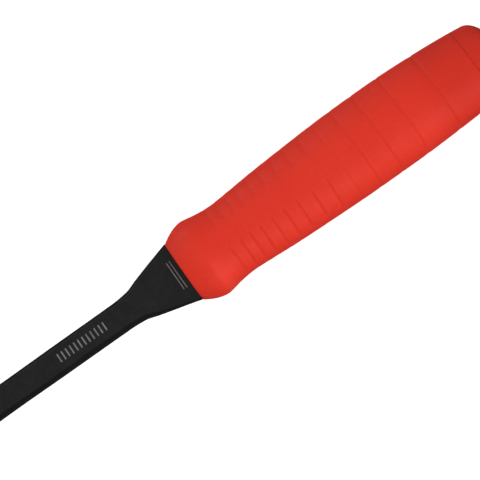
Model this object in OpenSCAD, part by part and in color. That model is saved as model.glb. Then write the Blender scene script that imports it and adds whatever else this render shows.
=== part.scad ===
// Compact one-hand Halligan bar: a forged adze-and-pike head and a forged fork, pinned on a flat forged shank
// whose tang is riveted between two core halves under a soft grip.
// +X runs along the shank towards the fork, +Z towards the adze, and the pike points to -Y.
// The origin is the middle of the head's flat back, on which the tool lies.

/* [Grip] */
// Length of the grip with its end cap
grip_len = 155; // [150:1:165]
// Greatest width of the grip
grip_w = 36.8; // [35:0.2:40]
// Greatest thickness of the grip, and height of the head's block
grip_t = 31; // [29:0.5:34]
// Sideways bow of the palm swell
grip_bow = 0.8; // [0:0.05:1.5]
// Squareness of the grip's oval section, 2 for an ellipse
grip_square = 2.2; // [2:0.1:2.6]
// Length of the end cap
cap_len = 13.4; // [13:0.1:14]
// Width of the hard core under the rubber
core_w = 26; // [24:0.5:27]
// Thickness of the hard core under the rubber
core_t = 20; // [18:0.5:21]

/* [Shank] */
// Length of bare shank between grip and head
shank_len = 178; // [160:1:240]
// Width of the plain bar
bar_w = 12; // [10:0.1:13]
// Thickness of the plain bar
bar_t = 8; // [7:0.1:9]
// Width of the flared shoulder where it meets the grip
shoulder_w = 27; // [24:0.2:27]
// Thickness of the flared shoulder
shoulder_t = 4.2; // [4:0.1:5.6]
// Width of the bar where it meets the head
root_w = 18; // [15:0.5:22]
// Thickness of the bar where it meets the head
root_t = 14; // [12:0.5:18]
// Width of the tang inside the grip
tang_w = 14; // [12:0.5:16]
// Thickness of the tang inside the grip
tang_t = 5; // [4.5:0.5:6]
// Width of the tenon that passes through the head into the fork
tenon_w = 12; // [10:0.5:14]
// Thickness of the tenon
tenon_t = 9; // [8:0.5:11]

/* [Head] */
// Length of the head's block along the shank
head_len = 40; // [38:1:46]
// Width of the head's block
head_w = 32; // [30:1:38]
// Height of the adze's edge above the head's back
adze_top = 96; // [85:1:110]
// Width of the adze's edge
adze_w = 50; // [44:1:60]
// Distance of the pike's point from the shank's axis
pike_reach = 88; // [75:1:100]
// Side of the square striking pad
pad_w = 22; // [18:1:24]

/* [Fork] */
// Length of the fork with its socket
fork_len = 84; // [80:1:96]
// Greatest width across both tines
fork_w = 44; // [40:1:50]
// Gap between the tines at their points
fork_gap = 18.4; // [14:0.2:20]

/* [Fasteners] */
// Diameter of the spring pins
pin_d = 5; // [4:0.5:5.5]
// Diameter of the tang rivets
rivet_d = 5; // [4:0.5:6]
// Outside diameter of the lanyard tube
tube_d = 7.5; // [7:0.1:7.8]
// Bore of the lanyard tube
tube_bore = 6; // [5:0.1:6.2]

/* [Hidden] */
$fn = 64;
axis_z = grip_t / 2;
grip_x = -(head_len / 2 + shank_len); // front of the grip
fork_x = head_len / 2;                // back of the fork's socket
slip = 0.1;                           // gap round a piece that slides into another
far = 200;                            // longer than any cut or view needs

// Half-width along the grip, before its end is rounded, as
// [distance from its front, share of the greatest half-width].
GRIP_SHAPE = [
  [0, 0.733], [3.2, 0.833], [6.4, 0.905], [9.8, 0.941], [12.8, 0.921], [17, 0.879],
  [23.5, 0.851], [32, 0.875], [44, 0.92], [60, 0.959], [76, 0.99], [92, 1],
  [108, 0.996], [122, 0.968], [133, 0.935], [141.6, 0.898], [146.5, 0.87], [155, 0.85]
];
grip_shape_len = 155; // length for which the shape is given
grip_sides = 40;      // sides of the grip's rings
grip_step = 4;        // distance between its rings
front_step = 1.6;     // the same, round its front ridge
front_end = 14.4;     // end of the front ridge
body_start = 17;      // first ring of the plain body behind it
tip_share = 0.02;     // share of the section left at the very end
front_wall = 5;       // rubber in front of the core
end_round = 8.5;      // length of the rounded end
end_power = 2.1;      // 2 would round the end as an ellipse
end_gap = 2.4;        // distance from the cap's front to its next ring
end_rings = 8;        // rings round the end
end_turn = 88.8;      // angle of the last of them, just short of the tip
bow_peak = 105;       // where the grip bows most
front_shift = 0.2;    // sideways shift of the whole grip
core_round = 8;       // corner radius of the core
tail_w = 16;          // width of the core's tail inside the cap
tail_t = 13;          // its thickness
tail_len = 11;        // its length
tail_round = 4;       // its corner radius
tail_at = grip_len - cap_len;
tube_at = grip_len - 7.8;
tube_len = 27.6;
mouth_r = 5.3;        // outer radius of the countersink round the tube's end
mouth_len = 3.2;      // its depth outside the tube's end
tang_end = tail_at - 6;
rivets_at = [32, 72, 112];
flare_len = 18.4;     // straight part of the shoulder's flare
flare_drop = 5.3;     // how much the half-width shrinks along it
shoulder_inset = 2;   // how far the part inside the grip is drawn in on each side
shoulder_rise = (bar_t - shoulder_t) / 2; // the shoulder's top is level with the bar's
joggle = 7;           // length over which the tang comes back down to the axis
taper_len = 78;       // length over which the bar thickens towards the head
root_len = 14;        // its straight end
head_pins_at = [-15, 15];
fork_pins_at = [27, 36];
tenon_len = head_len + 24;
sink = 1.5;           // how far the pins sit below the surface

// Cubic through the knots [x, y], its slope at each knot the slope between that knot's neighbours.
function slope(k, i) =
  let (a = max(i - 1, 0), b = min(i + 1, len(k) - 1))
  (k[b][1] - k[a][1]) / (k[b][0] - k[a][0]);
function between(a, b, ma, mb, x) =
  let (h = b[0] - a[0], s = (x - a[0]) / h)
  a[1] * (1 + 2 * s) * (1 - s) ^ 2 + b[1] * s ^ 2 * (3 - 2 * s)
  + h * (ma * s * (1 - s) ^ 2 - mb * s ^ 2 * (1 - s));
function curve(k, x) =
  let (i = max([0, for (j = [0:len(k) - 2]) if (x >= k[j][0]) j]))
  between(k[i], k[i + 1], slope(k, i), slope(k, i + 1), x);

// A closed outline between two sides given as knots, mirrored about zero or about a middle line.
function band(half, xs, middle = [[0, 0], [1, 0]]) = concat(
  [for (x = xs) [x, curve(middle, x) + curve(half, x)]],
  [for (i = [len(xs) - 1:-1:0]) [xs[i], curve(middle, xs[i]) - curve(half, xs[i])]]
);

// An outline carried right through the part, as seen from one side of it.
module from_side() {
  translate([0, far, 0]) rotate([90, 0, 0]) linear_extrude(2 * far) children();
}

module from_front(z = 0) {
  translate([-far, 0, z]) rotate([90, 0, 90]) linear_extrude(2 * far) children();
}

module from_above() {
  translate([0, 0, -far]) linear_extrude(2 * far) children();
}

// The solid whose outline is the first child from above (XY) and the second from the side (XZ).
module two_views() {
  intersection() {
    from_above() children(0);
    from_side() children(1);
  }
}

module round_rect(w, h, r) {
  square([w - 2 * r, h], center = true);
  square([w, h - 2 * r], center = true);
  for (y = [-1, 1], z = [-1, 1]) translate([y * (w / 2 - r), z * (h / 2 - r)]) circle(r);
}

function chamfered(w, h, c) = [
  [-w / 2 + c, -h / 2], [w / 2 - c, -h / 2], [w / 2, -h / 2 + c], [w / 2, h / 2 - c],
  [w / 2 - c, h / 2], [-w / 2 + c, h / 2], [-w / 2, h / 2 - c], [-w / 2, -h / 2 + c]
];

// A straight length of one section, from x0 to x1 along the shank's axis.
module run(x0, x1) {
  translate([x0, 0, axis_z]) rotate([90, 0, 90]) linear_extrude(x1 - x0) children();
}

// ---- Grip ----
function end_factor(u) = u <= grip_len - end_round ? 1
  : (1 - ((u - grip_len + end_round) / end_round) ^ end_power) ^ (1 / end_power);
function grip_half_w(u) =
  grip_w / 2 * curve(GRIP_SHAPE, u * grip_shape_len / grip_len) * max(end_factor(u), tip_share);
function grip_half_t(u) = grip_half_w(u) * grip_t / grip_w;
function round_ring(k) = grip_len - end_round * (1 - sin(k * end_turn / end_rings));
function grip_mid(u) = -front_shift - grip_bow * sin(90 * u / bow_peak) ^ 2;
function power(c, e) = sign(c) * abs(c) ^ e;
function grip_ring(u) = [
  for (k = [0:grip_sides - 1]) let (a = 360 * k / grip_sides, e = 2 / grip_square)
    [grip_x - u, grip_mid(u) + grip_half_w(u) * power(cos(a), e), axis_z + grip_half_t(u) * power(sin(a), e)]
];

// The grip's outer form over the stations us, closed at both ends.
module grip_form(us) {
  n = grip_sides;
  last = (len(us) - 1) * n;
  front = [for (k = [n - 1:-1:0]) k];
  back = [for (k = [0:n - 1]) last + k];
  side = [
    for (r = [0:n:last - n], k = [0:n - 1])
      each let (m = (k + 1) % n) [[r + k, r + m, r + n + m], [r + k, r + n + m, r + n + k]]
  ];
  polyhedron(points = [for (u = us) each grip_ring(u)], faces = concat([front], side, [back]));
}

module core_form() {
  run(grip_x - tail_at, grip_x - front_wall) round_rect(core_w, core_t, core_round);
  run(grip_x - tail_at - tail_len, grip_x - tail_at) round_rect(tail_w, tail_t, tail_round);
}

module tube_hole(d) {
  translate([grip_x - tube_at, 0, axis_z]) rotate([90, 0, 0]) cylinder(d = d, h = 2 * grip_w, center = true);
}

module rivet_holes() {
  for (u = rivets_at) translate([grip_x - u, 0, 0]) cylinder(d = rivet_d + slip, h = grip_t);
}

module core_half() {
  difference() {
    core_form();
    tang();
    tube_hole(tube_d + slip);
    rivet_holes();
  }
}

module core_upper() {
  color("dimgray") intersection() {
    core_half();
    translate([grip_x - grip_len, -grip_w, axis_z]) cube([grip_len, 2 * grip_w, grip_t]);
  }
}

module core_lower() {
  color("dimgray") intersection() {
    core_half();
    translate([grip_x - grip_len, -grip_w, axis_z - grip_t]) cube([grip_len, 2 * grip_w, grip_t]);
  }
}

module grip_sleeve() {
  color("tomato") difference() {
    grip_form([each [0:front_step:front_end], each [body_start:grip_step:tail_at - 2], tail_at]);
    run(grip_x - tail_at - 1, grip_x - front_wall) round_rect(core_w, core_t, core_round);
    shoulder();
  }
}

module butt_cap() {
  color("orangered") difference() {
    grip_form([tail_at, tail_at + end_gap, for (k = [0:end_rings]) round_ring(k)]);
    run(grip_x - tail_at - tail_len, grip_x) round_rect(tail_w, tail_t, tail_round);
    tube_hole(tube_d + slip);
    for (side = [-1, 1]) translate([grip_x - tube_at, side * tube_len / 2, axis_z])
      rotate([-90 * side, 0, 0]) cylinder(r1 = tube_d / 2, r2 = mouth_r, h = mouth_len);
  }
}

module lanyard_tube() {
  color("silver") translate([grip_x - tube_at, 0, axis_z]) rotate([90, 0, 0]) difference() {
    cylinder(d = tube_d, h = tube_len, center = true);
    cylinder(d = tube_bore, h = tube_len + 2, center = true);
  }
}

module tang_rivets() {
  color("silver") for (u = rivets_at)
    translate([grip_x - u, 0, axis_z]) cylinder(d = rivet_d, h = core_t, center = true);
}

// ---- Shank ----
SHANK_HALF_W = [
  [0, shoulder_w / 2], [flare_len, shoulder_w / 2 - flare_drop], [20.4, bar_w / 2 + 1.5],
  [23, bar_w / 2 + 0.7], [26, bar_w / 2 + 0.35], [30, bar_w / 2 + 0.05], [60, bar_w / 2],
  [shank_len - taper_len, bar_w / 2 + 0.1], [shank_len - root_len, root_w / 2], [shank_len, root_w / 2]
];
SHANK_HALF_T = [
  [0, shoulder_t / 2], [8, shoulder_t / 2 + 0.2], [26, bar_t / 2 - 0.3], [34, bar_t / 2],
  [shank_len - taper_len, bar_t / 2], [shank_len - root_len, root_t / 2], [shank_len, root_t / 2]
];
SHANK_MIDDLE = [[0, shoulder_rise], [8, shoulder_rise - 0.2], [26, 0.3], [34, 0], [shank_len, 0]];
shank_steps = [
  0, 8, 14, flare_len, each [20:2:34], each [44:10:94],
  each [shank_len - taper_len:6:shank_len - root_len - 1], shank_len - root_len, shank_len
];

// The part of the shoulder that sits in the grip's front wall.
module shoulder() {
  translate([0, 0, shoulder_rise]) run(grip_x - front_wall, grip_x)
    square([shoulder_w - 2 * shoulder_inset, shoulder_t], center = true);
}

// The tang, stepped down from the shoulder's height to the axis just behind the front wall.
module tang() {
  thin = shoulder_t / 2 - 0.2;
  bent = front_wall + joggle;
  translate([grip_x, tang_w / 2, axis_z]) rotate([90, 0, 0]) linear_extrude(tang_w) polygon([
    [-front_wall, shoulder_rise + thin], [-bent, tang_t / 2], [-tang_end, tang_t / 2],
    [-tang_end, -tang_t / 2], [-bent, -tang_t / 2], [-front_wall, shoulder_rise - thin]
  ]);
}

module pin_holes(xs) {
  for (x = xs) translate([x, 0, -1]) cylinder(d = pin_d, h = grip_t + 2);
}

module shank() {
  color("#232324") difference() {
    union() {
      two_views() {
        translate([grip_x, 0]) polygon(band(SHANK_HALF_W, shank_steps));
        translate([grip_x, axis_z]) polygon(band(SHANK_HALF_T, shank_steps, SHANK_MIDDLE));
      }
      shoulder();
      tang();
      run(-head_len / 2, -head_len / 2 + tenon_len) square([tenon_w, tenon_t], center = true);
    }
    rivet_holes();
    pin_holes(concat(head_pins_at, fork_pins_at));
  }
}

// ---- Head ----
adze_h = adze_top - grip_t;
adze_lean = -12;      // how far the adze's edge leans back towards the grip
adze_root_t = 9;      // half-thickness of the adze where it leaves the block
adze_edge_t = 1;      // half-thickness of its edge
adze_thin = 1.2;      // how fast it thins, 1 for a plain wedge
adze_root_w = 13;     // half-width of its root
adze_flare = 1.4;     // how late it widens, 1 for straight sides
pike_len = pike_reach - head_w / 2;
pike_lean = -9;       // how far the pike's point leans back towards the grip
pike_root_x = 11;     // half-width of the pike's root along the shank
pike_root_z = 10.5;   // half-height of its root
pike_tip = 1.5;       // half-width and half-height of its point
steps = [for (i = [-1:10]) i / 10]; // shares of the way from root to edge, from inside the block

function taper(root, tip, v, e) = tip + (root - tip) * max(1 - v, 0) ^ e;
function lean(v, by) = by * max(v, 0) ^ 2;

// A closed outline along its length at(v), between middle(v) - half(v) and middle(v) + half(v).
function tongue(at, half, middle) = concat(
  [for (v = steps) [middle(v) + half(v), at(v)]],
  [for (i = [len(steps) - 1:-1:0]) let (v = steps[i]) [middle(v) - half(v), at(v)]]
);
function swapped(points) = [for (p = points) [p[1], p[0]]];
straight = function(v) 0;

module adze() {
  at = function(v) grip_t + v * adze_h;
  half_t = function(v) taper(adze_root_t, adze_edge_t, v, adze_thin);
  half_w = function(v) adze_root_w + (adze_w / 2 - adze_root_w) * max(v, 0) ^ adze_flare;
  intersection() {
    from_side() polygon(tongue(at, half_t, function(v) lean(v, adze_lean)));
    from_front() polygon(tongue(at, half_w, straight));
  }
}

module pike() {
  at = function(v) -head_w / 2 - v * pike_len;
  half_x = function(v) taper(pike_root_x, pike_tip, v, 1);
  half_z = function(v) taper(pike_root_z, pike_tip, v, 1);
  intersection() {
    from_above() polygon(tongue(at, half_x, function(v) lean(v, pike_lean)));
    from_front(axis_z) polygon(swapped(tongue(at, half_z, straight)));
  }
}

module head_block() {
  bevel = 3;
  intersection() {
    run(-head_len / 2, head_len / 2) polygon(chamfered(head_w, grip_t, bevel));
    two_views() {
      polygon(chamfered(head_len, head_w, bevel));
      translate([0, axis_z]) polygon(chamfered(head_len, grip_t, bevel));
    }
  }
}

// The pad that stands proud of the side opposite the pike, to be struck with a sledge.
module striking_pad() {
  a = pad_w / 2;
  proud = 4;
  foot = 2;           // how far the pad spreads at its foot, and how deep it sits in the block
  y = head_w / 2;
  edge = [
    [-a - foot, y - foot], [-a - foot, y], [-a, y + proud],
    [a, y + proud], [a + foot, y], [a + foot, y - foot]
  ];
  intersection() {
    from_above() polygon(edge);
    from_front(axis_z) polygon(swapped(edge));
  }
}

module adze_pike_head() {
  color("#2b2b2d") difference() {
    union() {
      head_block();
      adze();
      pike();
      striking_pad();
    }
    run(-head_len, head_len) square([tenon_w + 2 * slip, tenon_t + 2 * slip], center = true);
    pin_holes(head_pins_at);
  }
}

// ---- Fork ----
socket_w = 30;        // width of the fork's socket
socket_t = 25;        // its thickness
socket_len = 21;      // its length
crotch_x = 42;        // from the socket's back to the middle of the crotch's curve
crotch_r = 4.6;       // radius of the crotch's curve
tip_t = 2;            // thickness of the tines' edge
tip_drop = 5;         // how far the tines' edge lies below the shank's axis
FORK_HALF_W = [
  [0, socket_w / 2], [socket_len + 1, socket_w / 2], [36, fork_w / 2 - 0.6], [48, fork_w / 2],
  [fork_len, fork_w / 2 - 3]
];
FORK_HALF_T = [[0, socket_t / 2], [socket_len, socket_t / 2], [38, 7], [60, 4], [fork_len, tip_t / 2]];
FORK_MIDDLE = [[0, 0], [36, 0], [60, -1.6], [fork_len, -tip_drop]];
fork_steps = [0, each [socket_len:3:48], each [54:6:fork_len - 6], fork_len];

// The plan of the space between the tines, open beyond their edge.
module fork_space() {
  beyond = fork_len + 1;
  translate([crotch_x, 0]) circle(crotch_r);
  polygon([
    [crotch_x, crotch_r], [beyond, fork_gap / 2], [beyond, -fork_gap / 2], [crotch_x, -crotch_r]
  ]);
}

module fork() {
  color("#2b2b2d") difference() {
    two_views() {
      translate([fork_x, 0]) difference() {
        polygon(band(FORK_HALF_W, fork_steps));
        fork_space();
      }
      translate([fork_x, axis_z]) polygon(band(FORK_HALF_T, fork_steps, FORK_MIDDLE));
    }
    run(fork_x - 1, tenon_len - head_len / 2 + slip)
      square([tenon_w + 2 * slip, tenon_t + 2 * slip], center = true);
    pin_holes(fork_pins_at);
  }
}

// ---- Spring pins ----
module spring_pins(xs, len) {
  gap = 0.9;          // width of the slot along the pin
  wall = 1.1;
  for (x = xs) translate([x, 0, axis_z]) difference() {
    cylinder(d = pin_d - slip, h = len, center = true);
    cylinder(d = pin_d - 2 * wall, h = len + 2, center = true);
    translate([0, pin_d / 2, 0]) cube([gap, pin_d, len + 2], center = true);
  }
}

module head_pins() {
  color("gray") spring_pins(head_pins_at, grip_t - 2 * sink);
}

module fork_pins() {
  color("gray") spring_pins(fork_pins_at, socket_t - 2);
}

shank();
adze_pike_head();
fork();
head_pins();
fork_pins();
core_upper();
core_lower();
tang_rivets();
grip_sleeve();
butt_cap();
lanyard_tube();
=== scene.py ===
import math

import bmesh
import bpy
import numpy as np
from mathutils import Euler, Matrix, Vector


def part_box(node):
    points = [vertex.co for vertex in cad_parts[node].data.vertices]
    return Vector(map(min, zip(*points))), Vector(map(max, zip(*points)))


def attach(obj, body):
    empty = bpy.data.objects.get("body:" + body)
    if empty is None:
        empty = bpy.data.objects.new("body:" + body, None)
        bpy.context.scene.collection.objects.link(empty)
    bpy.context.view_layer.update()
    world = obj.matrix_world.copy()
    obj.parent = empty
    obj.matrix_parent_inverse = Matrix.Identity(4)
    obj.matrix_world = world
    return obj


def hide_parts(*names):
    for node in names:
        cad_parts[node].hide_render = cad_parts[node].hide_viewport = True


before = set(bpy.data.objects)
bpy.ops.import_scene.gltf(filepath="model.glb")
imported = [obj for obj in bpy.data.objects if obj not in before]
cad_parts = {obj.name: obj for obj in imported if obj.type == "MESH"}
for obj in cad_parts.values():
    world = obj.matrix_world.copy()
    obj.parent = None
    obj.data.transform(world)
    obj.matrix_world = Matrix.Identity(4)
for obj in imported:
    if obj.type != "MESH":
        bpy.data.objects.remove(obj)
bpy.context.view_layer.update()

MM = 0.001

# ---------------------------------------------------------------- places, from the frame
SLEEVE_LO, SLEEVE_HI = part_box("grip_sleeve")
CAP_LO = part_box("butt_cap")[0]
SHANK_LO, SHANK_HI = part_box("shank")
HEAD_LO, HEAD_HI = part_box("adze_pike_head")
FORK_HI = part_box("fork")[1]
CORE_LO, CORE_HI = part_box("core_upper")
TUBE_LO, TUBE_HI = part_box("lanyard_tube")
GRIP_X = SLEEVE_HI.x                                # front of the grip
AXIS_Z = (SLEEVE_LO.z + SLEEVE_HI.z) / 2            # height of the shank's axis
GRIP_LEN = GRIP_X - CAP_LO.x
SEAM = GRIP_X - SLEEVE_LO.x                         # from the grip's front to its end cap
HALF_W = (SLEEVE_HI.y - SLEEVE_LO.y) / 2
HALF_T = (SLEEVE_HI.z - SLEEVE_LO.z) / 2
SHANK_LEN = HEAD_LO.x - GRIP_X


# ---------------------------------------------------------------- curves
def curve(knots, x):
    """Cubic through the knots, with the slope at each knot taken from its neighbours."""
    k = np.array(knots, float)
    last = len(k) - 1
    before, after = np.maximum(np.arange(last + 1) - 1, 0), np.minimum(np.arange(last + 1) + 1, last)
    slopes = (k[after, 1] - k[before, 1]) / (k[after, 0] - k[before, 0])
    x = np.asarray(x, float)
    i = np.clip(np.searchsorted(k[:, 0], x, side="right") - 1, 0, last - 1)
    h = k[i + 1, 0] - k[i, 0]
    s = (x - k[i, 0]) / h
    ends = k[i, 1] * (1 + 2 * s) * (1 - s) ** 2 + k[i + 1, 1] * s**2 * (3 - 2 * s)
    return ends + h * (slopes[i] * s * (1 - s) ** 2 - slopes[i + 1] * s**2 * (1 - s))


def smooth(x, low, high):
    """0 below low, 1 above high, and a smooth step between."""
    s = np.clip((np.asarray(x, float) - low) / (high - low), 0, 1)
    return s * s * (3 - 2 * s)


def stations(start, end, step, fine_at=(), reach=0.0, fine_step=1.0):
    """Places from start to end at most step apart, and closer round each place in fine_at."""
    at = set(np.linspace(start, end, int(math.ceil((end - start) / step)) + 1).round(7))
    for f in fine_at:
        near = np.arange(f - reach, f + reach + fine_step / 2, fine_step)
        at.update(x for x in near.round(7) if start < x < end)
    ordered = sorted(at)
    kept = [ordered[0]]
    for x in ordered[1:]:
        if x - kept[-1] > 0.4 * fine_step or x == ordered[-1]:
            kept.append(x)
    return kept


# ---------------------------------------------------------------- meshes
def mesh_object(name, vertices, faces, sharp_angle=40):
    mesh = bpy.data.meshes.new(name)
    mesh.from_pydata([tuple(v) for v in vertices], [], faces)
    mesh.validate()
    made = bpy.data.objects.new(name, mesh)
    bpy.context.scene.collection.objects.link(made)
    outward(made)
    shade(made, sharp_angle)
    return made


def outward(obj):
    bm = bmesh.new()
    bm.from_mesh(obj.data)
    bmesh.ops.recalc_face_normals(bm, faces=bm.faces)
    bm.to_mesh(obj.data)
    bm.free()


def shade(obj, sharp_angle):
    obj.data.shade_smooth()
    obj.data.set_sharp_from_angle(angle=math.radians(sharp_angle))


def loft(name, rings, ring_closed=False, sharp_angle=40, lid=True):
    """A skin over rings of equal length.

    A closed loft joins its last ring to its first. An open one is capped at its first ring, and also at its
    last if it has a lid.
    """
    n, count = len(rings[0]), len(rings)
    vertices = np.concatenate(rings)
    faces = []
    for r in range(count if ring_closed else count - 1):
        a, b = r * n, (r + 1) % count * n
        faces += [(a + k, a + (k + 1) % n, b + (k + 1) % n, b + k) for k in range(n)]
    if not ring_closed:
        faces += [tuple(range(n))] + [tuple(range((count - 1) * n, count * n))] * lid
    return mesh_object(name, vertices, faces, sharp_angle)


def apply_modifiers(obj):
    evaluated = obj.evaluated_get(bpy.context.evaluated_depsgraph_get())
    mesh = bpy.data.meshes.new_from_object(evaluated)
    obj.modifiers.clear()
    obj.data = mesh


def cut(obj, cutters, sharp_angle=40):
    """Cuts away the cutters and removes them."""
    for c in cutters:
        m = obj.modifiers.new("cut", "BOOLEAN")
        m.operation = "DIFFERENCE"
        m.solver = "EXACT"
        m.object = c
    apply_modifiers(obj)
    for c in cutters:
        bpy.data.objects.remove(c)
    shade(obj, sharp_angle)


def turned(name, profile, place, axis, sides=64, lid=True):
    """A solid of revolution: profile is [(distance along axis, radius)]."""
    a = np.arange(sides) * 2 * math.pi / sides
    turn = Vector((0, 0, 1)).rotation_difference(Vector(axis)).to_matrix()
    rings = []
    for along, r in profile:
        ring = np.stack([r * np.cos(a), r * np.sin(a), np.full(sides, along)], 1)
        rings.append(ring @ np.array(turn).T + np.array(place))
    return loft(name, rings, lid=lid)


# ---------------------------------------------------------------- grip
GRIP_SHAPE = [  # [distance from the front in mm, share of the greatest half-width]
    (0, 0.733), (3.2, 0.833), (6.4, 0.905), (9.8, 0.941), (12.8, 0.921), (17, 0.879), (23.5, 0.851),
    (32, 0.875), (44, 0.92), (60, 0.959), (76, 0.99), (92, 1), (108, 0.996), (122, 0.968), (133, 0.935),
    (141.6, 0.898), (146.5, 0.87), (155, 0.85),
]
GRIP_SHAPE_LEN = 155       # length in mm for which the shape is given
GRIP_SQUARE = 2.2          # power of the oval section
END_ROUND = 8.5 * MM       # length of the rounded end
END_POWER = 2.1            # 2 would round the end as an ellipse
BOW, BOW_PEAK = 0.8 * MM, 105 * MM  # sideways bow of the palm swell, and where it is greatest
FRONT_SHIFT = 0.2 * MM     # sideways shift of the whole grip
FRONT_WALL = 5 * MM        # rubber in front of the core
CORE_ROUND = 8 * MM        # corner radius of the core
TAIL_W, TAIL_T, TAIL_LEN, TAIL_ROUND = 16 * MM, 13 * MM, 11 * MM, 4 * MM  # the core's tail inside the cap
SLEEVE_LIP, CAP_LIP = 0.35 * MM, 0.3 * MM  # rounding of their edges
SHOULDER_HALF_W = 13.5 * MM
SHOULDER_HALF_T = 2.1 * MM
SHOULDER_RISE = 1.9 * MM   # the shoulder's top is level with the bar's
SHOULDER_INSET = 2 * MM    # how far the part inside the grip is drawn in on each side
SIDES = 192                # points round the grip's rings

# The finger rings: places of their bottoms from the grip's front, their depths, and their reach on each side.
FRONT_RINGS = np.array([20.7, 25.6, 30.2, 35.0, 40.7, 46.5, 52.65, 59.6, 67.1]) * MM
REAR_RINGS = np.array([75.3, 84.35, 94.8, 107.3, 123.5]) * MM
FRONT_DEPTH = 0.33 * MM
REAR_DEPTHS = np.array([0.15, 0.24, 0.26, 0.28, 0.32]) * MM
FRONT_BEFORE, FRONT_AFTER = 1.4 * MM, 0.5 * MM
REAR_BEFORE, REAR_AFTER = 1.1 * MM, 0.45 * MM


def end_factor(u):
    past = np.clip((u - GRIP_LEN + END_ROUND) / END_ROUND, 0, 1)
    return np.maximum(1 - past**END_POWER, 0) ** (1 / END_POWER)


def groove_depth(u, angle):
    """How far the finger rings sink at u from the front, at an angle from the top round the grip."""
    top = np.abs(np.cos(angle))
    side = np.abs(np.sin(angle)) * HALF_W
    clear_of_parting = smooth(top, 0.1, 0.5)
    flank = smooth(side, 3.5 * MM, 7.5 * MM) * clear_of_parting
    depth = np.zeros_like(angle)
    for at in FRONT_RINGS:
        x = (u - at) / (FRONT_BEFORE if u < at else FRONT_AFTER)
        depth += FRONT_DEPTH * np.exp(-x * x) * flank
    for at, deep in zip(REAR_RINGS, REAR_DEPTHS):
        x = (u - at) / (REAR_BEFORE if u < at else REAR_AFTER)
        depth += deep * np.exp(-x * x) * smooth(top, 0.05, 0.35)
    return depth


def grip_ring(u, angles, grooves=True, inset=0.0):
    """The grip's section at u from its front; the angle is 0 at the top and grows towards +Y."""
    c, s = np.cos(angles), np.sin(angles)
    e = 2 / GRIP_SQUARE
    share = curve(GRIP_SHAPE, u / MM * GRIP_SHAPE_LEN * MM / GRIP_LEN) * end_factor(u)
    y, z = HALF_W * share * np.sign(s) * np.abs(s) ** e, HALF_T * share * np.sign(c) * np.abs(c) ** e
    sink = inset + (groove_depth(u, angles) if grooves else 0)
    size = np.maximum(np.hypot(y, z), 1e-6)
    y, z = y * (1 - sink / size), z * (1 - sink / size)
    mid = -FRONT_SHIFT - BOW * math.sin(math.pi / 2 * u / BOW_PEAK) ** 2
    return np.stack([np.full_like(y, GRIP_X - u), y + mid, z + AXIS_Z], 1)


def slab_ring(u, angles, width, thick, corner, rise=0.0):
    """A rounded rectangle at u from the grip's front, its points facing the same way as the grip's."""
    c, s = np.cos(angles), np.sin(angles)
    wide, high = width / 2 - corner, thick / 2 - corner
    # each point is pushed out from the corner-less core by the corner radius
    y = np.clip(s * (width + thick), -wide, wide)
    z = np.clip(c * (width + thick), -high, high)
    return np.stack([np.full_like(y, GRIP_X - u), y + corner * s, z + corner * c + AXIS_Z + rise], 1)


def build_sleeve():
    angles = np.arange(SIDES) * 2 * math.pi / SIDES
    fine = list(FRONT_RINGS) + list(REAR_RINGS)
    us = stations(0, SEAM, 1.0 * MM, fine, 2.0 * MM, 0.22 * MM)
    core_w, core_t = CORE_HI.y - CORE_LO.y, 2 * (CORE_HI.z - CORE_LO.z)
    lip = SLEEVE_LIP
    rings = [grip_ring(lip * (1 - math.cos(a)), angles, False, lip * (1 - math.sin(a)))
             for a in np.radians([0, 30, 60])]
    rings += [grip_ring(u, angles) for u in us if u > lip and u < SEAM - lip]
    rings += [grip_ring(SEAM - lip * (1 - math.sin(a)), angles, True, lip * (1 - math.cos(a)))
              for a in np.radians([30, 60, 90])]
    rings += [slab_ring(u, angles, core_w, core_t, CORE_ROUND) for u in (SEAM, FRONT_WALL)]
    slot_w, slot_t = 2 * (SHOULDER_HALF_W - SHOULDER_INSET), 2 * SHOULDER_HALF_T
    rings += [slab_ring(u, angles, slot_w, slot_t, 0.3 * MM, SHOULDER_RISE) for u in (FRONT_WALL, 0)]
    return loft("rubber_sleeve", rings, ring_closed=True, sharp_angle=50)


def build_cap():
    angles = np.arange(SIDES) * 2 * math.pi / SIDES
    lip = CAP_LIP
    rings = [slab_ring(u, angles, TAIL_W, TAIL_T, TAIL_ROUND) for u in (SEAM + TAIL_LEN, SEAM)]
    rings += [grip_ring(SEAM + lip * (1 - math.cos(a)), angles, False, lip * (1 - math.sin(a)))
              for a in np.radians([0, 30, 60, 90])]
    rings += [grip_ring(u, angles, False) for u in stations(SEAM + 0.9 * MM, GRIP_LEN - END_ROUND, 0.9 * MM)]
    rounded = [GRIP_LEN - END_ROUND * (1 - math.sin(a)) for a in np.radians(np.linspace(4, 89, 28))]
    rings += [grip_ring(u, angles, False) for u in rounded]
    cap = loft("end_cap", rings, sharp_angle=50)
    middle = (TUBE_LO + TUBE_HI) / 2
    r = (TUBE_HI.x - TUBE_LO.x) / 2 + 0.05 * MM
    half = (TUBE_HI.y - TUBE_LO.y) / 2
    starts, length, wider, steps = half - 0.4 * MM, 6 * MM, 2.6 * MM, 8
    flare = [(starts + length * i / steps, r + wider * (i / steps) ** 2) for i in range(steps + 1)]
    profile = [(-a, b) for a, b in reversed(flare)] + flare
    cut(cap, [turned("cutter", profile, middle, (0, 1, 0))], 50)
    return cap


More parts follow.
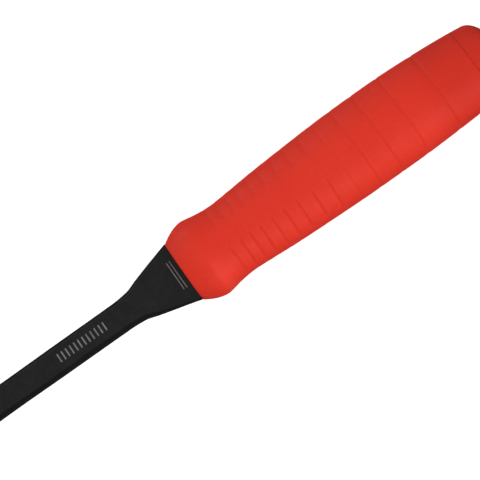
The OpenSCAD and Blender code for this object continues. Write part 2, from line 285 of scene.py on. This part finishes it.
# ---------------------------------------------------------------- shank
BAR_HALF_W, BAR_HALF_T = 6.0 * MM, 4.0 * MM
ROOT_HALF_W, ROOT_HALF_T = 9 * MM, 7 * MM
TANG_HALF_W, TANG_HALF_T, JOGGLE = 7 * MM, 2.5 * MM, 7 * MM  # the tang comes back to the axis over the joggle
TENON_HALF_W, TENON_HALF_T = 6 * MM, 4.5 * MM
FLARE_LEN, FLARE_DROP = 18.4 * MM, 5.3 * MM  # straight part of the shoulder's flare
TAPER_AT, ROOT_AT = SHANK_LEN - 78 * MM, SHANK_LEN - 14 * MM  # where the bar starts and stops to thicken
SHANK_SIDES = 96
PIN_R, RIVET_R = 2.5 * MM, 2.55 * MM
HEAD_PINS, FORK_PINS = (-15 * MM, 15 * MM), (27 * MM, 36 * MM)
RIVETS_AT = (32 * MM, 72 * MM, 112 * MM)
SHANK_HALF_W = [
    (0, SHOULDER_HALF_W), (FLARE_LEN, SHOULDER_HALF_W - FLARE_DROP), (20.4 * MM, BAR_HALF_W + 1.5 * MM),
    (23 * MM, BAR_HALF_W + 0.7 * MM), (26 * MM, BAR_HALF_W + 0.35 * MM), (30 * MM, BAR_HALF_W + 0.05 * MM),
    (60 * MM, BAR_HALF_W), (TAPER_AT, BAR_HALF_W + 0.1 * MM), (ROOT_AT, ROOT_HALF_W),
    (SHANK_LEN, ROOT_HALF_W),
]
SHANK_HALF_T = [
    (0, SHOULDER_HALF_T), (8 * MM, SHOULDER_HALF_T + 0.2 * MM), (26 * MM, BAR_HALF_T - 0.3 * MM),
    (34 * MM, BAR_HALF_T), (TAPER_AT, BAR_HALF_T), (ROOT_AT, ROOT_HALF_T), (SHANK_LEN, ROOT_HALF_T),
]
SHANK_RISE = [(0, SHOULDER_RISE), (8 * MM, 1.7 * MM), (26 * MM, 0.3 * MM), (34 * MM, 0), (SHANK_LEN, 0)]


def build_shank():
    angles = np.arange(SHANK_SIDES) * 2 * math.pi / SHANK_SIDES

    def section(u, half_w, half_t, corner, rise=0.0):
        return slab_ring(u, angles, 2 * half_w, 2 * half_t, corner, rise)

    tang_end = SHANK_LO.x
    rings = [section(u, TANG_HALF_W, TANG_HALF_T, 0.4 * MM) for u in (GRIP_X - tang_end, FRONT_WALL + JOGGLE)]
    rings.append(section(FRONT_WALL, TANG_HALF_W, SHOULDER_HALF_T - 0.2 * MM, 0.4 * MM, SHOULDER_RISE))
    inner = SHOULDER_HALF_W - SHOULDER_INSET
    rings += [section(u, inner, SHOULDER_HALF_T, 0.3 * MM, SHOULDER_RISE) for u in (FRONT_WALL, 0)]
    for x in stations(0, SHANK_LEN, 1.5 * MM, [FLARE_LEN + 1 * MM], 4 * MM, 0.5 * MM):
        behind_flare, near_root = smooth(x, 8 * MM, 30 * MM), smooth(x, 110 * MM, 165 * MM)
        corner = float(0.7 * MM + 1.6 * MM * behind_flare + 0.2 * MM * near_root)
        half_w, half_t, rise = (float(curve(k, x)) for k in (SHANK_HALF_W, SHANK_HALF_T, SHANK_RISE))
        rings.append(section(-x, half_w, half_t, corner, rise))
    tenon = (-SHANK_LEN, GRIP_X - SHANK_HI.x)
    rings += [section(u, TENON_HALF_W, TENON_HALF_T, 0.3 * MM) for u in tenon]
    shank = loft("black_shank", rings, sharp_angle=50)
    holes = [(x, PIN_R) for x in HEAD_PINS + FORK_PINS] + [(GRIP_X - u, RIVET_R) for u in RIVETS_AT]
    ends = (AXIS_Z - 9 * MM, AXIS_Z + 9 * MM)
    cut(shank, [turned("drill", [(z, r) for z in ends], (x, 0, 0), (0, 0, 1), 32) for x, r in holes], 50)
    return shank


# ---------------------------------------------------------------- forged head and fork
VOXEL = 0.36 * MM
VOXEL_TURN = Euler((0.62, 0.47, 0.36)).to_matrix().to_4x4()  # no edge runs along the voxels' own directions
ROUNDS = 110               # most steps of smoothing
HEAD_FACES, FORK_FACES = 100000, 60000  # about as many are kept
HEAD_TOP = 2 * AXIS_Z      # top of the head's block
FORK_LOW, FORK_TOP = AXIS_Z - 12.5 * MM, AXIS_Z + 12.5 * MM  # faces of the fork's socket
HEAD_HALF_W = 16 * MM


def forged(name, node, calm, faces_kept, pins, faces_z):
    """The CAD node's form as a forging: its edges and inner corners are rounded, then its pin holes drilled.

    calm(points) is from 0, kept as it is, to 1. pins are the places of the holes along X, and faces_z the
    heights of the two flat faces that they join.
    """
    made = bpy.data.objects.new(name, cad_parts[node].data.copy())
    bpy.context.scene.collection.objects.link(made)
    made.data.materials.clear()
    low, high = faces_z
    plug = [(low + 0.05 * MM, PIN_R + 0.3 * MM), (high - 0.05 * MM, PIN_R + 0.3 * MM)]
    join(made, [turned("plug", plug, (x, 0, 0), (0, 0, 1)) for x in pins])
    made.data.transform(VOXEL_TURN)
    remesh = made.modifiers.new("remesh", "REMESH")
    remesh.mode = "VOXEL"
    remesh.voxel_size = VOXEL
    apply_modifiers(made)
    made.data.transform(VOXEL_TURN.inverted())
    relax(made.data, calm)
    thin = made.modifiers.new("thin", "DECIMATE")
    thin.ratio = min(1.0, faces_kept / max(len(made.data.polygons) * 2, 1))
    apply_modifiers(made)
    chamfer, past = 0.4 * MM, 2 * MM
    wide = PIN_R + chamfer + past
    drill = [(low - past, wide), (low + chamfer, PIN_R), (high - chamfer, PIN_R), (high + past, wide)]
    cut(made, [turned("drill", drill, (x, 0, 0), (0, 0, 1)) for x in pins], 50)
    return made


def join(obj, others):
    """Adds the others' faces to the object's mesh and removes the others."""
    bm = bmesh.new()
    bm.from_mesh(obj.data)
    for o in others:
        bm.from_mesh(o.data)
        bpy.data.objects.remove(o)
    bm.to_mesh(obj.data)
    bm.free()


def relax(mesh, calm):
    """Moves each point towards its neighbours' middle, up to ROUNDS times where calm(points) is 1."""
    count = len(mesh.vertices)
    at = np.zeros(count * 3)
    mesh.vertices.foreach_get("co", at)
    at = at.reshape(-1, 3)
    edges = np.zeros(len(mesh.edges) * 2, int)
    mesh.edges.foreach_get("vertices", edges)
    a, b = edges.reshape(-1, 2).T
    degree = np.bincount(a, minlength=count) + np.bincount(b, minlength=count)
    rounds = calm(at) * ROUNDS
    for i in range(ROUNDS):
        around = [np.bincount(a, at[b, k], count) + np.bincount(b, at[a, k], count) for k in range(3)]
        step = 0.5 * (np.stack(around, 1) / degree[:, None] - at)
        at = at + step * np.clip(rounds - i, 0, 1)[:, None]
    mesh.vertices.foreach_set("co", at.ravel())
    mesh.update()


def head_calm(at):
    """Most rounding where adze and pike leave the block, least at the adze's edge and the pike's point."""
    up = at[:, 2] - HEAD_TOP
    out = -at[:, 1] - HEAD_HALF_W
    root = np.maximum(1 - np.abs(up) / (9 * MM), 1 - np.abs(out) / (9 * MM))
    near_edge = np.maximum(smooth(up, 50 * MM, 62 * MM), smooth(out, 60 * MM, 70 * MM))
    return np.clip(0.22 + 0.78 * smooth(root, 0, 1), 0, 1) * (1 - 0.3 * near_edge)


def fork_calm(at):
    """The same rounding all over, a little less at the tines' edges."""
    return 0.28 * (1 - 0.25 * smooth(at[:, 0], FORK_HI.x - 25 * MM, FORK_HI.x - 5 * MM))


# ---------------------------------------------------------------- materials
class Nodes:
    """Short names for building one material's node tree."""

    def __init__(self, name):
        self.material = bpy.data.materials.new(name)
        self.material.use_nodes = True
        self.tree = self.material.node_tree
        self.tree.nodes.clear()
        self.out = self.add("ShaderNodeOutputMaterial")
        self.shader = self.add("ShaderNodeBsdfPrincipled")
        self.link(self.shader.outputs["BSDF"], self.out.inputs["Surface"])
        self.place = self.add("ShaderNodeTexCoord").outputs["Object"]

    def add(self, kind, **settings):
        node = self.tree.nodes.new(kind)
        for key, value in settings.items():
            setattr(node, key, value)
        return node

    def link(self, a, b):
        self.tree.links.new(a, b)

    def put(self, socket, value):
        if isinstance(value, bpy.types.NodeSocket):
            self.link(value, socket)
        else:
            socket.default_value = value

    def math(self, operation, *values, clamp=False):
        node = self.add("ShaderNodeMath", operation=operation, use_clamp=clamp)
        for i, v in enumerate(values):
            self.put(node.inputs[i], v)
        return node.outputs[0]

    def noise(self, scale, detail=3.0, rough=0.55, stretch=None, distortion=0.0):
        node = self.add("ShaderNodeTexNoise")
        place = self.place
        if stretch:
            mapping = self.add("ShaderNodeMapping")
            mapping.inputs["Scale"].default_value = stretch
            self.link(place, mapping.inputs["Vector"])
            place = mapping.outputs[0]
        self.link(place, node.inputs["Vector"])
        node.inputs["Scale"].default_value = scale
        node.inputs["Detail"].default_value = detail
        node.inputs["Roughness"].default_value = rough
        node.inputs["Distortion"].default_value = distortion
        return node.outputs["Fac"]

    def spread(self, value, low, high, to_low=0.0, to_high=1.0):
        node = self.add("ShaderNodeMapRange", interpolation_type="SMOOTHSTEP")
        for key, v in (("From Min", low), ("From Max", high), ("To Min", to_low), ("To Max", to_high)):
            node.inputs[key].default_value = v
        self.put(node.inputs["Value"], value)
        return node.outputs["Result"]

    def blend(self, share, a, b):
        node = self.add("ShaderNodeMix", data_type="RGBA")
        # the node has sockets A, B and Result for other types too
        first, second = [i for i in node.inputs if i.type == "RGBA"]
        self.put(node.inputs["Factor"], share)
        self.put(first, a)
        self.put(second, b)
        return next(o for o in node.outputs if o.type == "RGBA")

    def axis(self, letter):
        node = self.add("ShaderNodeSeparateXYZ")
        self.link(self.place, node.inputs[0])
        return node.outputs[letter]

    def bump(self, *layers):
        """Each layer is (height, distance in metres, strength)."""
        normal = None
        for height, distance, strength in layers:
            node = self.add("ShaderNodeBump")
            node.inputs["Strength"].default_value = strength
            node.inputs["Distance"].default_value = distance
            self.link(height, node.inputs["Height"])
            if normal is not None:
                self.link(normal, node.inputs["Normal"])
            normal = node.outputs["Normal"]
        self.link(normal, self.shader.inputs["Normal"])

    def normal_z(self):
        """How far the surface faces up, from -1 to 1, in the tool's own frame."""
        node = self.add("ShaderNodeSeparateXYZ")
        self.link(self.add("ShaderNodeTexCoord").outputs["Normal"], node.inputs[0])
        return node.outputs["Z"]

    def pointiness(self):
        return self.add("ShaderNodeNewGeometry").outputs["Pointiness"]


def rgb(r, g, b):
    return (r, g, b, 1.0)


def rubber_material(name, base, dark, light):
    """Matte moulded rubber, with a painted highlight on its +Y side just behind the front ridge, and painted
    shade towards its end and in its hollows.
    """
    m = Nodes(name)
    cloud = m.spread(m.noise(60, 4, 0.6), 0.3, 0.7)
    speck = m.spread(m.noise(1400, 2, 0.5), 0.35, 0.75)
    colour = m.blend(m.math("MULTIPLY", cloud, 0.5), base, light)
    colour = m.blend(m.math("MULTIPLY", speck, 0.22), colour, dark)
    from_front = m.math("SUBTRACT", GRIP_X, m.axis("X"))
    past_ridge = m.spread(from_front, 9.4 * MM, 11.2 * MM)
    before_rings = m.spread(from_front, 12 * MM, 21 * MM, 1.0, 0.0)
    # painted highlight: paler red just behind the front ridge, on the +Y side only, where the key lamp falls
    painted_lit_patch = m.math("MULTIPLY", past_ridge, before_rings)
    painted_lit_patch = m.math("MULTIPLY", painted_lit_patch, m.spread(m.axis("Y"), 2 * MM, 9 * MM))
    colour = m.blend(m.math("MULTIPLY", painted_lit_patch, 0.45), colour, rgb(0.76, 0.047, 0.03))
    # painted shade: the rubber darkens towards the grip's end, from 108 mm to 134 mm behind its front
    colour = m.blend(m.spread(from_front, 108 * MM, 134 * MM, 0.0, 0.42), colour, dark)
    # painted shade: darker red where the surface is hollow (low pointiness), in the grooves and along the
    # lips
    crease = m.spread(m.pointiness(), 0.47, 0.5, 1.0, 0.0)
    colour = m.blend(m.math("MULTIPLY", crease, 0.55), colour, dark)
    m.put(m.shader.inputs["Base Color"], colour)
    m.put(m.shader.inputs["Roughness"], m.spread(m.noise(240, 4, 0.6), 0.25, 0.75, 0.52, 0.7))
    m.shader.inputs["Specular IOR Level"].default_value = 0.13
    m.bump((m.noise(1900, 3, 0.6), 0.00008, 0.5), (m.noise(130, 3, 0.5), 0.0004, 0.18))
    return m.material


def black_steel_material(name, marks=None, grain=1.0):
    m = Nodes(name)
    cloud = m.spread(m.noise(38, 5, 0.62, distortion=0.6), 0.32, 0.72)
    fleck = m.spread(m.noise(900, 3, 0.6), 0.45, 0.8)
    colour = m.blend(cloud, rgb(0.0034, 0.0034, 0.0036), rgb(0.0060, 0.0059, 0.0069))
    colour = m.blend(m.math("MULTIPLY", fleck, 0.35), colour, rgb(0.02, 0.02, 0.021))
    # painted shade: faces turned away from straight up (sides and rounded edges of the bar) get a darker
    # colour; they are also made rougher
    side = m.spread(m.math("ABSOLUTE", m.normal_z()), 0.78, 0.985, 1.0, 0.0)
    colour = m.blend(m.math("MULTIPLY", side, 0.9), colour, rgb(0.003, 0.003, 0.003))
    scuff = m.spread(m.noise(210, 6, 0.7), 0.46, 0.62)
    edge = m.math("MULTIPLY", m.spread(m.pointiness(), 0.54, 0.6), scuff)
    colour = m.blend(m.math("MULTIPLY", edge, 0.45), colour, rgb(0.11, 0.108, 0.105))
    rough = m.spread(m.noise(160, 5, 0.6), 0.25, 0.75, 0.46, 0.6)
    rough = m.math("ADD", rough, m.math("MULTIPLY", side, 0.38))
    metal = m.math("MULTIPLY", edge, 0.5)
    if marks:
        mask = marks(m)
        colour = m.blend(mask, colour, rgb(0.2, 0.182, 0.178))
        rough = m.math("ADD", rough, m.math("MULTIPLY", mask, 0.2))
    m.put(m.shader.inputs["Base Color"], colour)
    m.put(m.shader.inputs["Roughness"], rough)
    m.put(m.shader.inputs["Metallic"], metal)
    m.shader.inputs["Specular IOR Level"].default_value = 0.18
    m.bump((m.noise(1100, 3, 0.6), 0.00006 * grain, 0.5), (m.noise(150, 4, 0.55), 0.0004 * grain, 0.25))
    return m.material


def forged_material(name, ground):
    """Black forging, ground bare where ground(nodes) says 1."""
    m = Nodes(name)
    cloud = m.spread(m.noise(45, 5, 0.62, distortion=0.8), 0.32, 0.72)
    scale = m.spread(m.noise(420, 4, 0.65), 0.42, 0.7)
    colour = m.blend(cloud, rgb(0.012, 0.012, 0.0125), rgb(0.019, 0.0185, 0.0195))
    colour = m.blend(m.math("MULTIPLY", scale, 0.3), colour, rgb(0.03, 0.029, 0.03))
    scuff = m.spread(m.noise(170, 6, 0.7), 0.42, 0.6)
    edge = m.math("MULTIPLY", m.spread(m.pointiness(), 0.515, 0.56), scuff)
    bare = m.math("MAXIMUM", ground(m), m.math("MULTIPLY", edge, 0.7))
    lines = m.noise(1500, 3, 0.6, stretch=(0.06, 1.0, 1.0))
    steel = m.blend(lines, rgb(0.2, 0.2, 0.205), rgb(0.36, 0.36, 0.365))
    m.put(m.shader.inputs["Base Color"], m.blend(bare, colour, steel))
    m.put(m.shader.inputs["Metallic"], bare)
    coat = m.spread(m.noise(140, 5, 0.6), 0.25, 0.75, 0.42, 0.62)
    m.put(m.shader.inputs["Roughness"], m.math("SUBTRACT", coat, m.math("MULTIPLY", bare, 0.06)))
    m.shader.inputs["Specular IOR Level"].default_value = 0.35
    rough_part = m.math("SUBTRACT", 1.0, m.math("MULTIPLY", bare, 0.9))
    grain = m.math("MULTIPLY", m.noise(650, 4, 0.6), rough_part)
    dents = m.math("MULTIPLY", m.noise(95, 4, 0.55), rough_part)
    m.bump((grain, 0.00016, 0.5), (dents, 0.0009, 0.3))
    return m.material


def steel_material(name):
    m = Nodes(name)
    lines = m.noise(2200, 3, 0.6, stretch=(1.0, 1.0, 0.08))
    m.put(m.shader.inputs["Base Color"], m.blend(lines, rgb(0.3, 0.3, 0.305), rgb(0.52, 0.52, 0.525)))
    m.put(m.shader.inputs["Roughness"], m.spread(lines, 0.2, 0.8, 0.26, 0.42))
    m.shader.inputs["Metallic"].default_value = 1.0
    m.bump((lines, 0.00005, 0.4))
    return m.material


def nylon_material(name):
    m = Nodes(name)
    fibres = m.noise(900, 4, 0.7, stretch=(0.15, 1.0, 1.0))
    m.put(m.shader.inputs["Base Color"], m.blend(fibres, rgb(0.018, 0.018, 0.019), rgb(0.045, 0.045, 0.047)))
    m.put(m.shader.inputs["Roughness"], m.spread(fibres, 0.2, 0.8, 0.45, 0.65))
    m.bump((fibres, 0.00006, 0.4))
    return m.material


def shank_marks(m):
    """A plain etched scale of ticks on the bar and two fine lines on the shoulder, on the upper face only."""
    x, y, z = m.axis("X"), m.axis("Y"), m.axis("Z")
    along = m.math("SUBTRACT", x, GRIP_X)
    upper = m.math("GREATER_THAN", z, AXIS_Z + 2.2 * MM)
    spacing, tick_share, tick_half_len = 2.0 * MM, 0.3, 1.9 * MM
    first, last = 38.0 * MM, 61.0 * MM
    lines_from, lines_to, lines_half_gap, lines_half_len = 2.2 * MM, 3.9 * MM, 0.5 * MM, 6.5 * MM
    phase = m.math("FRACT", m.math("DIVIDE", m.math("SUBTRACT", along, first), spacing))
    line = m.math("LESS_THAN", phase, tick_share)
    within = m.math("MULTIPLY", m.math("GREATER_THAN", along, first), m.math("LESS_THAN", along, last))
    short = m.math("LESS_THAN", m.math("ABSOLUTE", y), tick_half_len)
    ticks = m.math("MULTIPLY", m.math("MULTIPLY", line, within), short)
    near = m.math("MULTIPLY", m.math("GREATER_THAN", along, lines_from), m.math("LESS_THAN", along, lines_to))
    off_middle = m.math("ABSOLUTE", m.math("SUBTRACT", along, (lines_from + lines_to) / 2))
    pair = m.math("GREATER_THAN", off_middle, lines_half_gap)
    wide = m.math("LESS_THAN", m.math("ABSOLUTE", y), lines_half_len)
    bars = m.math("MULTIPLY", m.math("MULTIPLY", near, pair), wide)
    faded = m.spread(m.noise(700, 2, 0.5), 0.2, 0.6, 0.45, 0.9)
    return m.math("MULTIPLY", m.math("MULTIPLY", m.math("MAXIMUM", ticks, bars), upper), faded)


def head_ground(m):
    """Bare ground steel at the adze's edge and the pike's point."""
    up = m.spread(m.axis("Z"), HEAD_HI.z - 7 * MM, HEAD_HI.z - 6 * MM)
    out = m.spread(m.axis("Y"), HEAD_LO.y + 9 * MM, HEAD_LO.y + 7 * MM)
    return m.math("MAXIMUM", up, out)


def fork_ground(m):
    return m.spread(m.axis("X"), FORK_HI.x - 11 * MM, FORK_HI.x - 9.5 * MM)


def dress(obj, material):
    obj.data.materials.clear()
    obj.data.materials.append(material)


# ---------------------------------------------------------------- assembly
def assemble():
    red = rubber_material(
        "soft_red_rubber", rgb(0.68, 0.0305, 0.0145), rgb(0.46, 0.019, 0.010), rgb(0.7, 0.036, 0.0185)
    )
    # a darker copy of the red rubber for the end cap: painted shade on the grip's end
    cap_red = rubber_material(
        "cap_red_rubber", rgb(0.64, 0.030, 0.0145), rgb(0.44, 0.018, 0.010), rgb(0.67, 0.036, 0.0185)
    )
    steel = steel_material("spring_steel")
    nylon = nylon_material("filled_nylon")
    sleeve, cap, shank = build_sleeve(), build_cap(), build_shank()
    head = forged("forged_head", "adze_pike_head", head_calm, HEAD_FACES, HEAD_PINS, (0, HEAD_TOP))
    fork = forged("forged_fork", "fork", fork_calm, FORK_FACES, FORK_PINS, (FORK_LOW, FORK_TOP))
    made = [
        (sleeve, "grip_sleeve", red, "red_rubber"),
        (cap, "butt_cap", cap_red, "red_cap"),
        (shank, "shank", black_steel_material("black_oxide", shank_marks), "black_steel"),
        (head, "adze_pike_head", forged_material("forged_black_head", head_ground), "black_steel"),
        (fork, "fork", forged_material("forged_black_fork", fork_ground), "black_steel"),
    ]
    for piece, node, material, slot in made:
        dress(piece, material)
        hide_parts(node)
        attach(piece, "root")
    for node in ("head_pins", "fork_pins", "tang_rivets", "lanyard_tube"):
        dress(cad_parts[node], steel)
    for node in ("core_upper", "core_lower"):
        dress(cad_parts[node], nylon)


# ---------------------------------------------------------------- floor, light and camera
FLOOR_R, BEND_R, WALL_TOP = 6.0, 1.5, 3.0  # radius of the flat floor, of its bend, and height of the wall
FLOOR_GLOW = 0.95


def floor():
    """A white floor, bent up into a low wall all round, that glows like a light table.

    Its glow is linked to itself, so it doesn't light the tool.
    """
    bend = np.linspace(0, math.pi / 2, 10)
    profile = [(BEND_R * (1 - math.cos(a)), FLOOR_R + BEND_R * math.sin(a)) for a in bend]
    plane = turned("floor", profile + [(WALL_TOP, FLOOR_R + BEND_R)], (GRIP_X, 0, 0), (0, 0, 1), lid=False)
    m = Nodes("pale_floor")
    m.put(m.shader.inputs["Base Color"], m.blend(m.noise(3, 2), rgb(0.78, 0.78, 0.78), rgb(0.82, 0.82, 0.82)))
    m.shader.inputs["Roughness"].default_value = 0.9
    m.shader.inputs["Specular IOR Level"].default_value = 0.1
    m.shader.inputs["Emission Color"].default_value = rgb(1, 1, 1)
    m.shader.inputs["Emission Strength"].default_value = FLOOR_GLOW
    dress(plane, m.material)
    plane.light_linking.receiver_collection = collection_of("floor_only", [plane])
    return plane


def collection_of(name, objects):
    made = bpy.data.collections.new(name)
    for o in objects:
        made.objects.link(o)
    return made


def area_light(name, place, aim, size, power, lit):
    data = bpy.data.lights.new(name, "AREA")
    data.shape = "SQUARE"
    data.size = size
    data.energy = power
    lamp = bpy.data.objects.new(name, data)
    bpy.context.scene.collection.objects.link(lamp)
    lamp.location = place
    lamp.rotation_euler = (Vector(aim) - Vector(place)).to_track_quat("-Z", "Y").to_euler()
    lamp.light_linking.receiver_collection = lit
    return lamp


WORLD = 0.1
# name, degrees from straight above towards +Y, place along the shank, distance, size, watts
# [name, angle from straight up towards +Y, place along X, reach, size, power]
LAMPS = [
    ("key", 54, -0.2, 1.5, 0.9, 17.8),
    ("butt", 20, -1.3, 0.8, 0.9, 4),
    ("top", -8, 0.3, 1.6, 0.9, 5.6),
    ("side", -66, 0.5, 1.5, 0.9, 13),
]
TILT = math.radians(13)        # the camera leans from straight above towards +Y
TURN = math.radians(35.23)     # the shank's slope across the picture
DISTANCE = 1.1                 # from the camera to the shank's axis
WIDTH_SEEN = 0.192             # width of the picture at the shank's axis
SENSOR = 36                    # width of the camera's sensor in mm


def camera():
    target = Vector((GRIP_X - 25.7 * MM, 2.26 * MM, AXIS_Z))
    back = Vector((0, math.sin(TILT), math.cos(TILT)))
    across = Vector((0, math.cos(TILT), -math.sin(TILT)))
    along = Vector((1, 0, 0))
    right = -math.cos(TURN) * along + math.sin(TURN) * across
    up = -math.sin(TURN) * along - math.cos(TURN) * across
    data = bpy.data.cameras.new("camera")
    data.sensor_width = SENSOR
    data.lens = SENSOR * DISTANCE / WIDTH_SEEN
    made = bpy.data.objects.new("camera", data)
    bpy.context.scene.collection.objects.link(made)
    turned_to = Matrix((right, up, back)).transposed().to_4x4()
    made.matrix_world = Matrix.Translation(target + back * DISTANCE) @ turned_to
    bpy.context.scene.camera = made


def light():
    world = bpy.data.worlds.new("studio")
    bpy.context.scene.world = world
    world.use_nodes = True
    world.node_tree.nodes["Background"].inputs["Color"].default_value = rgb(1, 1, 1)
    world.node_tree.nodes["Background"].inputs["Strength"].default_value = WORLD
    tool = collection_of("tool", [o for o in bpy.context.scene.objects if o.type == "MESH"])
    floor()
    middle = Vector((GRIP_X, 0, AXIS_Z))
    for name, angle, along, reach, size, power in LAMPS:
        a = math.radians(angle)
        place = middle + Vector((along, reach * math.sin(a), reach * math.cos(a)))
        area_light(name, place, middle, size, power, tool)
    bpy.context.scene.view_settings.view_transform = "Standard"


assemble()
light()
camera()
